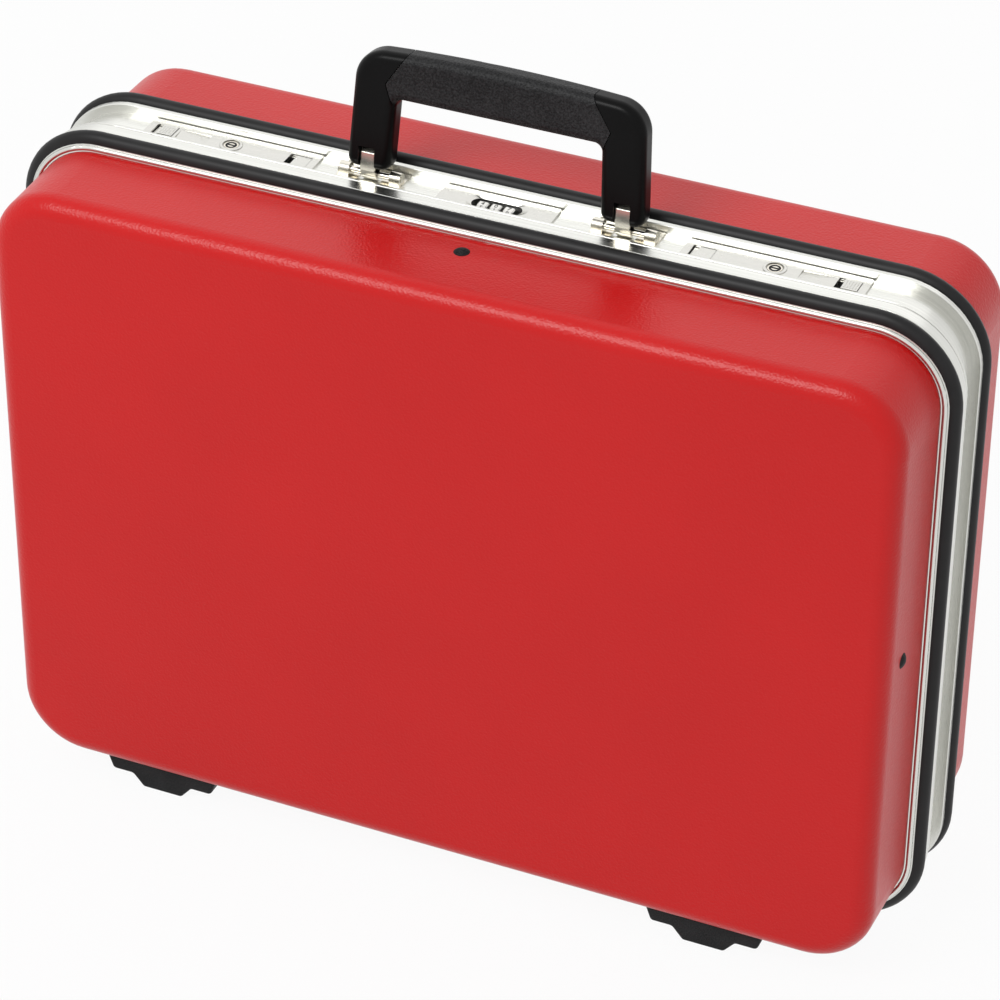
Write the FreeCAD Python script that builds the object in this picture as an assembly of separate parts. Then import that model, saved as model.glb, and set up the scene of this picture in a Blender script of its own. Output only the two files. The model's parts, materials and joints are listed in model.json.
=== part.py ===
import FreeCAD
import Part
import math
import os

Vector = FreeCAD.Vector

# A hard carrying case: two moulded shells in an aluminium double frame. The front half is the lid,
# hinged along the bottom edge. X runs along the case, Y from front to back, Z up, and the feet
# stand on Z = 0. All sizes are in millimetres.
# A place on the frame is given by its depth, measured backwards from the front shell's edge, and by
# its level, measured outwards from the shell's outer face.

# Shells
shell_width = 470.0
shell_height = 335.5
shell_corner_radius = 35.0
shell_depth = 51.0
shell_wall = 3.0
shell_draft = 0.6
panel_edge_radius = 10.0
panel_margin = 20.0

# Frame of aluminium extrusion
lid_frame_depth = 17.1
parting_gap = 0.4
frame_thickness = 1.8
flange_level = 6.8
rim_level = 4.0
rim_run = 0.9
rim_bead_margin = 0.55
flange_run = 0.8
flange_edge_round = 0.5
floor_level = 2.3
channel_wall = 1.6
channel_width = 19.9
back_flange_width = 3.1
shell_grip = 8.0
shell_clearance = 0.15
groove_margin = 1.0
groove_cut = 1.6

# Rubber cords
bumper_width = 8.2
bumper_rise = 5.1
bumper_clearance = 0.05

# Feet
foot_height = 17.0
foot_pad_rise = 1.5
foot_pad_overhang = 5.0
foot_pad_slope = 6.0
foot_length = 63.0
foot_end_slope = 3.0
foot_depth = 31.0
foot_front_gap = 9.0
foot_bar_height = 7.0
foot_tread_length = 34.0
foot_tread_slope = 6.0
foot_edge_round = 1.5
foot_corner_round = 2.5
left_foot_share = 0.336
right_foot_share = 0.311
foot_screw_spacing = 46.0
screw_shank_radius = 2.0
screw_head_radius = 4.0
screw_head_height = 2.2
screw_sink = 0.6
recess_length = 4.6
recess_width = 1.0
recess_cut = 1.2
screw_clearance = 0.1
screw_end = 2.0

# Shell rivets
rivet_head_radius = 4.0
rivet_head_height = 1.6
rivet_shank_radius = 1.9
rivet_tail_radius = 3.4
rivet_tail_height = 1.6
rivet_washer_radius = 5.0
rivet_washer_thickness = 1.0
rivet_clearance = 0.05
top_rivet_depth = 12.0
side_rivet_depth = 29.0
side_rivet_rise = 11.0

# Hinges
hinge_place_share = 0.223
hinge_length = 60.0
knuckle_length = 19.4
knuckle_gap = 0.3
knuckle_radius = 2.75
hinge_pin_radius = 1.5
hinge_running_clearance = 0.05
hinge_axis_level = 8.0
leaf_thickness = 1.5
base_leaf_end = 36.0
base_web_place = 19.4
lid_leaf_start = 10.3
lid_leaf_end = 14.2
hinge_notch_level = 4.9
hinge_notch_margin = 0.5
hinge_notch_depth = 14.3
base_hinge_rivet_radius = 1.5
base_hinge_rivet_head_radius = 2.6
lid_hinge_rivet_radius = 1.1
lid_hinge_rivet_head_radius = 1.7
hinge_rivet_head_height = 1.0
hinge_rivet_spacing = 40.0
base_hinge_rivet_depth = 29.0
lid_hinge_rivet_depth = 12.4

# Slide locks
lock_place_share = 0.301
lock_plate_length = 92.0
lock_plate_gap = 0.7
lock_plate_thickness = 1.0
lock_plate_corner = 1.2
lock_case_margin = 0.5
lock_case_width = 14.0
lock_case_wall = 0.8
lock_case_floor_level = -13.0
lock_cutout_clearance = 0.2
slide_travel = 3.0
slide_clearance = 0.3
slide_end_clearance = 0.1
slit_width = 7.0
slide_bar_width = 9.6
slide_bar_thickness = 1.8
slide_window_inset = 9.7
slide_pad_length = 8.0
slide_pad_width = 8.6
thumb_pad_rise = 0.3
marker_pad_drop = 0.2
wedge_place_share = 0.226
wedge_length = 16.5
wedge_width = 8.0
wedge_cut = 0.7
collar_radius = 5.8
collar_rise = 0.5
collar_round_share = 0.8

# Key barrels
barrel_radius = 3.6
barrel_clearance = 0.05
barrel_rise = 0.1
barrel_ring_gap = 0.8
barrel_ring_cut = 0.6
barrel_bottom_level = -5.4
keyway_length = 5.4
keyway_width = 1.3
keyway_cut = 3.0
cam_length = 10.4
cam_width = 4.5
cam_thickness = 1.5

# Bolts and keepers
bolt_place_share = 0.1957
bolt_block_length = 9.0
bolt_block_width = 6.0
bolt_bottom_level = -10.4
bolt_finger_length = 5.0
bolt_finger_height = 3.0
bolt_finger_width = 3.0
keeper_gap = 0.7
keeper_thickness = 2.0
keeper_foot_length = 14.0
keeper_foot_thickness = 1.5
keeper_foot_start = 1.0
keeper_foot_end = 9.4
keeper_reach = 33.0
keeper_eye_clearance = 0.8
keeper_slot_clearance = 1.0
keeper_hang = 0.6
keeper_rivet_spacing = 9.0
keeper_rivet_radius = 1.4
keeper_rivet_head_radius = 2.3
keeper_rivet_head_height = 0.9
keeper_rivet_depth = 5.2

# Detent springs
spring_length = 22.0
spring_thickness = 0.4
spring_height = 1.6
spring_bow = 0.6
spring_place_share = -0.228

# Combination lock
combination_plate_length = 60.0
window_length = 26.0
window_width = 8.8
window_bevel_length = 3.0
window_bevel_width = 0.7
window_lip = 0.2
wheel_count = 3
wheel_pitch = 6.8
wheel_width = 5.4
wheel_radius = 5.4
wheel_face_count = 10
wheel_edge_chamfer = 0.6
wheel_axis_level = -2.0
wheel_axis_shift = 0.85
axle_radius = 1.5
axle_clearance = 0.05
combination_case_length = 34.0
combination_case_width = 15.0
combination_case_wall = 0.8
combination_case_floor_level = -10.0

# Handle
arm_place_share = 0.1406
arm_width = 22.3
arm_flare_share = 0.05
handle_thickness = 14.0
handle_edge_round = 4.5
handle_lean = 6.8
handle_rise = 64.7
handle_crown = 3.0
grip_height = 22.1
handle_outer_radius = 16.0
handle_inner_radius = 4.0
arm_lift = 4.3
arm_foot_margin = 0.5
seam_top_place = 45.0
seam_apex_place = 57.5
seam_apex_share = 0.35
seam_bottom_place = 54.0
seam_gap = 0.5
notch_width = 8.4
notch_height = 11.7
notch_back = 1.2
strap_width = 7.6
strap_thickness = 1.2
strap_reach = 30.0
strap_step = 2.0
strap_step_low = 3.0
strap_step_high = 12.0
strap_clearance = 0.05
core_width = 12.0
core_thickness = 4.0
core_inset = 1.1

# Handle mounts
rod_radius = 1.6
rod_level = 5.5
rod_length = 33.0
rod_clearance = 0.02
boss_length = 5.5
boss_pitch = 27.0
mount_plate_length = 34.0
mount_plate_thickness = 0.8
mount_window_length = 12.0
mount_window_width = 13.0

# One overrun serves all cuts, and one tolerance picks edges
overrun = 2.0
edge_tolerance = 0.2
half_share = 0.5

quarter_turn = 90.0
half_turn = 180.0

# Places that follow from the sizes
mid_height = foot_height + shell_height / 2
base_frame_start = lid_frame_depth + parting_gap
channel_start = base_frame_start + channel_wall
channel_end = channel_start + channel_width
channel_middle = (channel_start + channel_end) / 2
frame_depth = channel_end + back_flange_width + flange_run + bumper_width + rim_run
left_foot_place = -shell_width * left_foot_share
right_foot_place = shell_width * right_foot_share
hinge_place = shell_width * hinge_place_share
lock_place = shell_width * lock_place_share
lock_plate_width = channel_width - lock_plate_gap * 2
lock_case_length = lock_plate_length - lock_case_margin * 2
slide_window_place = lock_plate_length / 2 - slide_window_inset
wedge_place = lock_plate_length * wedge_place_share
bolt_place = lock_plate_length * bolt_place_share
spring_place = lock_plate_length * spring_place_share
arm_place = shell_width * arm_place_share
core_length = (arm_place - core_inset) * 2
boss_radius = rod_level - floor_level
inner_level = -shell_wall - shell_clearance - frame_thickness
plate_level = floor_level + lock_plate_thickness
draft_angle = math.degrees(math.atan(shell_draft / (shell_depth - panel_edge_radius)))
hinge_axis_depth = lid_frame_depth + parting_gap / 2
handle_depth = channel_middle
arm_foot_round = handle_edge_round + arm_foot_margin
wheel_depth = channel_middle - wheel_axis_shift


def y_of(depth):
    """Return Y for a depth behind the front shell's edge."""
    return depth - frame_depth / 2


def point(x, depth, level, side=1):
    """Return a point on the top side of the case (side 1) or on its bottom side (side -1)."""
    return Vector(x, y_of(depth), mid_height + side * (shell_height / 2 + level))


def block(xs, depths, levels, side=1):
    """Make a box between pairs of X, depth and level."""
    low_level, high_level = sorted(levels)
    low = point(min(xs), min(depths), low_level if side > 0 else high_level, side)
    size = (max(xs) - min(xs), max(depths) - min(depths), high_level - low_level)
    return Part.makeBox(size[0], size[1], size[2], low)


def upright(radius, x, depth, levels, side=1):
    """Make a cylinder whose axis is vertical."""
    low_level, high_level = sorted(levels)
    base = point(x, depth, low_level if side > 0 else high_level, side)
    return Part.makeCylinder(radius, high_level - low_level, base, Vector(0, 0, 1))


def crossbar(radius, xs, depth, level, side=1):
    """Make a cylinder whose axis runs along X."""
    return Part.makeCylinder(radius, max(xs) - min(xs), point(min(xs), depth, level, side), Vector(1, 0, 0))


def span(middle, length):
    """Return the two ends of a length about its middle."""
    return (middle - length / 2, middle + length / 2)


def joined(first, *others):
    """Fuse solids that meet into one solid."""
    return first.multiFuse(list(others)).removeSplitter().Solids[0]


def mirrored_to_back(shape):
    """Mirror a shape from the front half to the back half."""
    return shape.mirror(Vector(0, 0, 0), Vector(0, 1, 0))


def polygon_face(points):
    """Make a flat face from its corners."""
    return Part.Face(Part.makePolygon(points + points[:1]))


def profile(places):
    """Make a section of the frame from (depth, level) corners, with the level along X."""
    return polygon_face([Vector(level, y_of(depth), 0) for depth, level in places])


def softened_profile(places):
    """Make a section of the frame whose corners on the outermost level are rounded."""
    corners = [Vector(level, y_of(depth), 0) for depth, level in places]
    edges = []
    ends = []
    for number, corner in enumerate(corners):
        if places[number][1] < flange_level:
            ends.append((corner, corner))
            continue
        before = (corners[number - 1] - corner).normalize()
        after = (corners[(number + 1) % len(corners)] - corner).normalize()
        half_angle = before.getAngle(after) / 2
        reach = flange_edge_round / math.tan(half_angle)
        bulge = flange_edge_round / math.sin(half_angle) - flange_edge_round
        middle = corner + (before + after).normalize() * bulge
        start = corner + before * reach
        end = corner + after * reach
        edges.append(Part.Arc(start, middle, end).toShape())
        ends.append((start, end))
    for number, (start, end) in enumerate(ends):
        edges.append(Part.makeLine(ends[number - 1][1], start))
    return Part.Face(Part.Wire(Part.__sortEdges__(edges)))


def carried_round(section):
    """Carry a section once round the outline of the case."""
    run_x = shell_width / 2 - shell_corner_radius
    run_z = shell_height / 2 - shell_corner_radius
    corners = [
        Vector(run_x, 0, mid_height + run_z),
        Vector(-run_x, 0, mid_height + run_z),
        Vector(-run_x, 0, mid_height - run_z),
        Vector(run_x, 0, mid_height - run_z),
    ]
    solids = []
    for side, corner in enumerate(corners):
        start = corners[side - 1]
        turned = section.copy()
        turned.translate(Vector(shell_corner_radius, 0, 0))
        turned.rotate(Vector(0, 0, 0), Vector(0, 1, 0), -quarter_turn * side)
        straight = turned.copy()
        straight.translate(start)
        solids.append(straight.extrude(corner - start))
        bend = turned.copy()
        bend.translate(corner)
        solids.append(bend.revolve(corner, Vector(0, 1, 0), -quarter_turn))
    return joined(solids[0], *solids[1:])


def rounded_plate(half_x, half_z, radius, y_start, thickness):
    """Make an upright plate with round corners."""
    run_x = half_x - radius
    run_z = half_z - radius
    low = Vector(-half_x, y_start, mid_height - run_z)
    tall = Part.makeBox(half_x + half_x, thickness, run_z + run_z, low)
    bottom = Vector(-run_x, y_start, mid_height - half_z)
    wide = Part.makeBox(run_x + run_x, thickness, half_z + half_z, bottom)
    pieces = [wide]
    for sign_x in (-1, 1):
        for sign_z in (-1, 1):
            centre = Vector(sign_x * run_x, y_start, mid_height + sign_z * run_z)
            pieces.append(Part.makeCylinder(radius, thickness, centre, Vector(0, 1, 0)))
    return joined(tall, *pieces)


# Shells


def shell_section():
    """Draw the front shell's wall from the frame's slot round to its panel."""
    arc_depth = panel_edge_radius - shell_depth
    arc_level = -shell_draft - panel_edge_radius
    inner_radius = panel_edge_radius - shell_wall
    diagonal = math.sqrt(2) / 2
    grip_depth = shell_grip - shell_clearance - shell_clearance

    def at(depth, level):
        return Vector(level, y_of(depth), 0)

    outer_arc = Part.Arc(
        at(arc_depth, arc_level + panel_edge_radius),
        at(arc_depth - panel_edge_radius * diagonal, arc_level + panel_edge_radius * diagonal),
        at(arc_depth - panel_edge_radius, arc_level),
    )
    inner_arc = Part.Arc(
        at(arc_depth - inner_radius, arc_level),
        at(arc_depth - inner_radius * diagonal, arc_level + inner_radius * diagonal),
        at(arc_depth, arc_level + inner_radius),
    )
    edges = [
        Part.makeLine(at(grip_depth, 0), at(0, 0)),
        Part.makeLine(at(0, 0), at(arc_depth, -shell_draft)),
        outer_arc.toShape(),
        Part.makeLine(at(-shell_depth, arc_level), at(-shell_depth, -panel_margin)),
        Part.makeLine(at(-shell_depth, -panel_margin), at(shell_wall - shell_depth, -panel_margin)),
        Part.makeLine(at(shell_wall - shell_depth, -panel_margin), at(shell_wall - shell_depth, arc_level)),
        inner_arc.toShape(),
        Part.makeLine(at(arc_depth, -shell_draft - shell_wall), at(0, -shell_wall)),
        Part.makeLine(at(0, -shell_wall), at(grip_depth, -shell_wall)),
        Part.makeLine(at(grip_depth, -shell_wall), at(grip_depth, 0)),
    ]
    return Part.Face(Part.Wire(edges))


def foot_depths():
    """Return where a front foot starts and ends."""
    start = foot_front_gap - shell_depth
    return (start, start + foot_depth)


def foot_places():
    """Return the middles of the two feet along the case."""
    return (left_foot_place, right_foot_place)


def foot_pad(place):
    """Make the raised pad of the front shell that carries a foot."""
    half_low = foot_length / 2 + foot_pad_overhang
    half_high = half_low + foot_pad_slope
    start, end = foot_depths()
    pad_level = foot_pad_rise
    root_level = -shell_wall + shell_draft
    outline = [
        point(place - half_high, start, root_level, -1),
        point(place + half_high, start, root_level, -1),
        point(place + half_low, start, pad_level, -1),
        point(place - half_low, start, pad_level, -1),
    ]
    return polygon_face(outline).extrude(Vector(0, end - start, 0))


def foot_screw_places(place):
    """Return the X places of a foot's two screws."""
    return span(place, foot_screw_spacing)


def foot_screw_depth():
    """Return the depth of the foot screws, at the middle of the foot."""
    return sum(foot_depths()) / 2


def rivet_frames():
    """Return the place and outward direction of each rivet through the front shell."""
    tilt = math.radians(draft_angle)
    slope = shell_draft / (shell_depth - panel_edge_radius)
    half_x = shell_width / 2
    half_z = shell_height / 2
    out = math.cos(tilt)
    lean = -math.sin(tilt)
    top = Vector(0, y_of(-top_rivet_depth), mid_height + half_z - slope * top_rivet_depth)
    side_x = half_x - slope * side_rivet_depth
    side_y = y_of(-side_rivet_depth)
    side_z = mid_height + side_rivet_rise
    return [
        (top, Vector(0, lean, out)),
        (Vector(side_x, side_y, side_z), Vector(out, lean, 0)),
        (Vector(-side_x, side_y, side_z), Vector(-out, lean, 0)),
    ]


def plain_shell():
    """Make the front shell with its foot pads and their screw holes."""
    half_x = shell_width / 2 - panel_margin
    half_z = shell_height / 2 - panel_margin
    radius = shell_corner_radius - panel_margin
    panel = rounded_plate(half_x, half_z, radius, y_of(-shell_depth), shell_wall)
    shell = joined(carried_round(shell_section()), panel)
    for place in foot_places():
        shell = joined(shell, foot_pad(place))
        for x in foot_screw_places(place):
            bore = screw_shank_radius + screw_clearance
            levels = (-shell_wall - overrun, foot_pad_rise + overrun)
            shell = shell.cut(upright(bore, x, foot_screw_depth(), levels, -1))
    return shell.Solids[0]


def lid_shell(shell):
    """Cut the rivet holes into the front shell."""
    for centre, outward in rivet_frames():
        inside = centre - outward * (shell_wall + overrun)
        bore = rivet_shank_radius + rivet_clearance
        shell = shell.cut(Part.makeCylinder(bore, shell_wall + overrun + overrun, inside, outward))
    return shell.Solids[0]


def rivet():
    """Turn a round-headed rivet about Z, with the underside of its head at the origin."""
    seat = -shell_wall - rivet_washer_thickness
    end = seat - rivet_tail_height
    dome_radius = (rivet_head_radius ** 2 + rivet_head_height ** 2) / (2 * rivet_head_height)
    dome_centre = rivet_head_height - dome_radius
    middle_angle = math.asin(rivet_head_radius / dome_radius) / 2
    dome_middle = Vector(dome_radius * math.sin(middle_angle), 0,
                         dome_centre + dome_radius * math.cos(middle_angle))
    corners = [
        Vector(0, 0, end),
        Vector(rivet_tail_radius, 0, end),
        Vector(rivet_tail_radius, 0, seat),
        Vector(rivet_shank_radius, 0, seat),
        Vector(rivet_shank_radius, 0, 0),
        Vector(rivet_head_radius, 0, 0),
    ]
    top = Vector(0, 0, rivet_head_height)
    edges = [Part.makeLine(start, stop) for start, stop in zip(corners, corners[1:])]
    edges.append(Part.Arc(corners[-1], dome_middle, top).toShape())
    edges.append(Part.makeLine(top, corners[0]))
    section = Part.Face(Part.Wire(edges))
    return section.revolve(Vector(0, 0, 0), Vector(0, 0, 1), half_turn + half_turn)


def lid_rivets():
    """Set the rivets into the front shell."""
    rivets = []
    for centre, outward in rivet_frames():
        placed = rivet()
        placed.Placement = FreeCAD.Placement(centre, FreeCAD.Rotation(Vector(0, 0, 1), outward))
        rivets.append(placed)
    return Part.makeCompound(rivets)


def lid_rivet_washers():
    """Make the washers under the rivets, inside the front shell."""
    washers = []
    for centre, outward in rivet_frames():
        start = centre - outward * (shell_wall + rivet_washer_thickness)
        disc = Part.makeCylinder(rivet_washer_radius, rivet_washer_thickness, start, outward)
        bore_radius = rivet_shank_radius + rivet_clearance
        bore = Part.makeCylinder(bore_radius, rivet_washer_thickness, start, outward)
        washers.append(disc.cut(bore).Solids[0])
    return Part.makeCompound(washers)


# Feet


def foot(place):
    """Make a front foot: a bar with a deeper tread, screwed to the shell's pad."""
    start, end = foot_depths()
    top_level = foot_pad_rise
    bar_level = foot_height - foot_bar_height
    tread_level = foot_height
    half_top = foot_length / 2
    half_bar = half_top - foot_end_slope
    half_tread = foot_tread_length / 2
    half_tip = half_tread - foot_tread_slope
    corners = [
        (-half_top, top_level),
        (half_top, top_level),
        (half_bar, bar_level),
        (half_tread, bar_level),
        (half_tip, tread_level),
        (-half_tip, tread_level),
        (-half_tread, bar_level),
        (-half_bar, bar_level),
    ]
    outline = [point(place + x, start, level, -1) for x, level in corners]
    solid = polygon_face(outline).extrude(Vector(0, end - start, 0))
    top_z = point(place, start, top_level, -1).z
    low_edges = [edge for edge in solid.Edges if edge.BoundBox.ZMax < top_z - edge_tolerance]
    across = [edge for edge in low_edges if edge.BoundBox.YLength > edge_tolerance]
    solid = solid.makeFillet(foot_corner_round, across)
    low_edges = [edge for edge in solid.Edges if edge.BoundBox.ZMin < top_z - edge_tolerance]
    outlines = [edge for edge in low_edges if edge.BoundBox.YLength < edge_tolerance]
    solid = solid.makeFillet(foot_edge_round, outlines)
    for x in foot_screw_places(place):
        bore = screw_shank_radius + screw_clearance
        solid = solid.cut(upright(bore, x, foot_screw_depth(), (top_level, bar_level + overrun), -1))
        sink = screw_head_radius + screw_clearance
        sink_level = bar_level - screw_head_height - screw_sink
        solid = solid.cut(upright(sink, x, foot_screw_depth(), (sink_level, bar_level + overrun), -1))
    return solid.Solids[0]


def lid_foot_screws():
    """Make the four screws of the front feet."""
    bar_level = foot_height - foot_bar_height
    seat_level = bar_level - screw_head_height - screw_sink
    screws = []
    for place in foot_places():
        for x in foot_screw_places(place):
            end_level = -shell_wall - screw_end
            shank = upright(screw_shank_radius, x, foot_screw_depth(), (end_level, seat_level), -1)
            head_levels = (seat_level, seat_level + screw_head_height)
            head = upright(screw_head_radius, x, foot_screw_depth(), head_levels, -1)
            screw = joined(shank, head)
            cut_levels = (max(head_levels) - recess_cut, max(head_levels) + overrun)
            for length, width in ((recess_length, recess_width), (recess_width, recess_length)):
                screw = screw.cut(block(span(x, length), span(foot_screw_depth(), width), cut_levels, -1))
            screws.append(screw.Solids[0])
    return Part.makeCompound(screws)


# Frame


def rim_corners():
    """List the corners of the rim, cord groove and flange edge, from the shell inwards."""
    groove_start = rim_run + groove_margin
    groove_end = rim_run + bumper_width - groove_margin
    groove_level = rim_level - groove_cut
    return [
        (0, shell_clearance),
        (rim_run, rim_level),
        (groove_start, rim_level),
        (groove_start, groove_level),
        (groove_end, groove_level),
        (groove_end, rim_level),
        (rim_run + bumper_width, rim_level),
        (rim_run + bumper_width + flange_run, flange_level),
    ]


def rim_bead(depth):
    """Make the rounded bead that runs along a rim beside the shell."""
    radius = (rim_level - shell_clearance) / 2 - rim_bead_margin
    centre = Vector((rim_level + shell_clearance) / 2, y_of(depth), 0)
    circle = Part.makeCircle(radius, centre, Vector(0, 0, 1))
    return carried_round(Part.Face(Part.Wire([circle])))


def grip_corners():
    """List the corners of the slot that grips the shell's edge, from its inner lip outwards."""
    slot_level = -shell_wall - shell_clearance
    return [
        (0, inner_level),
        (0, slot_level),
        (shell_grip, slot_level),
        (shell_grip, shell_clearance),
    ]


def hinge_middles():
    """Return the middles of the two hinges along the case."""
    return (-hinge_place, hinge_place)


def lid_frame():
    """Make the front ring, with notches for the hinges and holes for their rivets."""
    web_depth = shell_grip + frame_thickness
    leg_depth = lid_frame_depth - frame_thickness
    under_level = flange_level - frame_thickness
    corners = rim_corners() + [
        (lid_frame_depth, flange_level),
        (lid_frame_depth, inner_level),
        (leg_depth, inner_level),
        (leg_depth, under_level),
        (web_depth + flange_run, under_level),
        (web_depth, shell_clearance),
        (web_depth, inner_level),
    ] + grip_corners()
    ring = joined(carried_round(softened_profile(corners)), rim_bead(rim_run / 2))
    for middle in hinge_middles():
        xs = span(middle, hinge_length + hinge_notch_margin + hinge_notch_margin)
        depths = (hinge_notch_depth, lid_frame_depth + overrun)
        ring = ring.cut(block(xs, depths, (hinge_notch_level, flange_level + overrun), -1))
        for x in span(middle, hinge_rivet_spacing):
            levels = (under_level - overrun, flange_level + overrun)
            bore = lid_hinge_rivet_radius + rivet_clearance
            ring = ring.cut(upright(bore, x, lid_hinge_rivet_depth, levels, -1))
    for side in (-1, 1):
        for x in span(sum(keeper_x(side)) / 2, keeper_rivet_spacing):
            bore = keeper_rivet_radius + rivet_clearance
            levels = (inner_level - overrun, inner_level + frame_thickness)
            ring = ring.cut(upright(bore, x, keeper_rivet_depth, levels))
    return ring.Solids[0]


def base_frame():
    """Make the rear ring with the lock channel, its openings and the hinge seats."""
    back_corners = [(frame_depth - depth, level) for depth, level in reversed(rim_corners())]
    back_grip = [(frame_depth - depth, level) for depth, level in reversed(grip_corners())]
    under_level = flange_level - frame_thickness
    floor_under = floor_level - frame_thickness
    web_depth = frame_depth - shell_grip - frame_thickness
    corners = [
        (base_frame_start, flange_level),
        (channel_start, flange_level),
        (channel_start, floor_level),
        (channel_end, floor_level),
        (channel_end, flange_level),
    ] + back_corners + back_grip + [
        (web_depth, inner_level),
        (web_depth, shell_clearance),
        (web_depth - flange_run, under_level),
        (channel_end + frame_thickness, under_level),
        (channel_end + frame_thickness, floor_under),
        (channel_start, floor_under),
        (channel_start, inner_level),
        (base_frame_start, inner_level),
    ]
    ring = joined(carried_round(softened_profile(corners)), rim_bead(frame_depth - rim_run / 2))
    floor_levels = (floor_under - overrun, floor_level + overrun)
    for side in (-1, 1):
        xs = span(side * lock_place, lock_case_length + lock_cutout_clearance * 2)
        depths = span(channel_middle, lock_case_width + lock_cutout_clearance * 2)
        ring = ring.cut(block(xs, depths, floor_levels))
    xs = span(0, combination_case_length + lock_cutout_clearance * 2)
    depths = span(channel_middle, combination_case_width + lock_cutout_clearance * 2)
    ring = ring.cut(block(xs, depths, floor_levels))
    for middle in hinge_middles():
        xs = span(middle, hinge_length + hinge_notch_margin + hinge_notch_margin)
        depths = (base_frame_start - overrun, channel_start)
        ring = ring.cut(block(xs, depths, (hinge_notch_level, flange_level + overrun), -1))
        for x in span(middle, hinge_rivet_spacing):
            bore = base_hinge_rivet_radius + rivet_clearance
            ring = ring.cut(upright(bore, x, base_hinge_rivet_depth, floor_levels, -1))
    return ring.Solids[0]


def lid_bumper():
    """Make the front rubber cord: a half-round bead on a foot that fills the groove."""
    start = rim_run
    end = rim_run + bumper_width
    middle = (start + end) / 2
    half_foot = bumper_width / 2 - groove_margin - bumper_clearance
    seat = rim_level + bumper_clearance
    foot_level = rim_level - groove_cut + bumper_clearance

    def at(depth, level):
        return Vector(level, y_of(depth), 0)

    major = Vector(seat + bumper_rise, y_of(middle), 0)
    minor = Vector(seat, y_of(end), 0)
    if bumper_rise > bumper_width / 2:
        oval = Part.Ellipse(major, minor, at(middle, seat))
    else:
        oval = Part.Ellipse(minor, major, at(middle, seat))
    bead = Part.Face(Part.Wire([oval.toShape()]))
    keep = profile([
        (start - overrun, seat),
        (end + overrun, seat),
        (end + overrun, seat + bumper_rise + overrun),
        (start - overrun, seat + bumper_rise + overrun),
    ])
    bead = bead.common(keep).Faces[0]
    foot_face = profile([
        (middle - half_foot, foot_level),
        (middle + half_foot, foot_level),
        (middle + half_foot, seat),
        (middle - half_foot, seat),
    ])
    return joined(carried_round(bead), carried_round(foot_face))


# Hinges


def hinge_axis_point(x):
    """Return a point on the lid's hinge axis."""
    return point(x, hinge_axis_depth, hinge_axis_level, -1)


def knuckle(xs, bore_radius):
    """Make a bored hinge knuckle."""
    length = max(xs) - min(xs)
    start = hinge_axis_point(min(xs))
    barrel = Part.makeCylinder(knuckle_radius, length, start, Vector(1, 0, 0))
    return barrel, Part.makeCylinder(bore_radius, length, start, Vector(1, 0, 0))


def base_hinge_leaves():
    """Make the hinge leaves that lie in the channel of the base frame."""
    leaves = []
    half = hinge_length / 2
    inner = knuckle_length / 2 + knuckle_gap
    bore_radius = hinge_pin_radius + rod_clearance
    for middle in hinge_middles():
        leaf_levels = (floor_level, floor_level + leaf_thickness)
        leaf = block(span(middle, hinge_length), (base_web_place, base_leaf_end), leaf_levels, -1)
        for xs in ((middle - half, middle - inner), (middle + inner, middle + half)):
            web_depths = (base_web_place, base_web_place + leaf_thickness)
            web = block(xs, web_depths, (floor_level, hinge_axis_level + leaf_thickness / 2), -1)
            shelf_levels = span(hinge_axis_level, leaf_thickness)
            shelf = block(xs, (hinge_axis_depth, base_web_place + leaf_thickness), shelf_levels, -1)
            barrel, bore = knuckle(xs, bore_radius)
            leaf = joined(leaf, web, shelf, barrel).cut(bore)
        for x in span(middle, hinge_rivet_spacing):
            bore = base_hinge_rivet_radius + rivet_clearance
            leaf = leaf.cut(upright(bore, x, base_hinge_rivet_depth, leaf_levels, -1))
        leaves.append(leaf.Solids[0])
    return Part.makeCompound(leaves)


def lid_hinge_leaves():
    """Make the hinge leaves that lie on the flange of the lid frame."""
    leaves = []
    bore_radius = hinge_pin_radius + hinge_running_clearance
    for middle in hinge_middles():
        leaf_levels = (flange_level, flange_level + leaf_thickness)
        leaf = block(span(middle, hinge_length), (lid_leaf_start, lid_leaf_end), leaf_levels, -1)
        xs = span(middle, knuckle_length)
        tab = block(xs, (lid_leaf_start, hinge_axis_depth), leaf_levels, -1)
        barrel, bore = knuckle(xs, bore_radius)
        leaf = joined(leaf, tab, barrel).cut(bore)
        for x in span(middle, hinge_rivet_spacing):
            bore = lid_hinge_rivet_radius + rivet_clearance
            leaf = leaf.cut(upright(bore, x, lid_hinge_rivet_depth, leaf_levels, -1))
        leaves.append(leaf.Solids[0])
    return Part.makeCompound(leaves)


def hinge_pins():
    """Make the two hinge pins."""
    half = hinge_length / 2
    pins = []
    for middle in hinge_middles():
        start = hinge_axis_point(middle - half)
        pins.append(Part.makeCylinder(hinge_pin_radius, hinge_length, start, Vector(1, 0, 0)))
    return Part.makeCompound(pins)


def hinge_rivets(depth, metal_level, shank_radius, head_radius):
    """Make the rivets that hold the hinge leaves to the metal under them."""
    rivets = []
    top_level = metal_level + leaf_thickness
    under_level = metal_level - frame_thickness
    for middle in hinge_middles():
        for x in span(middle, hinge_rivet_spacing):
            shank = upright(shank_radius, x, depth, (under_level, top_level), -1)
            head_levels = (top_level, top_level + hinge_rivet_head_height)
            head = upright(head_radius, x, depth, head_levels, -1)
            tail_levels = (under_level - hinge_rivet_head_height, under_level)
            tail = upright(head_radius, x, depth, tail_levels, -1)
            rivets.append(joined(shank, head, tail))
    return Part.makeCompound(rivets)


# Slide locks: places along a lock are measured outwards from the key barrel


def along(side, place):
    """Return X of a place on the left (side -1) or right (side 1) lock."""
    return side * (lock_place + place)


def lock_span(side, place, length):
    """Return the X ends of a feature of a lock."""
    return span(along(side, place), length)


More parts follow.
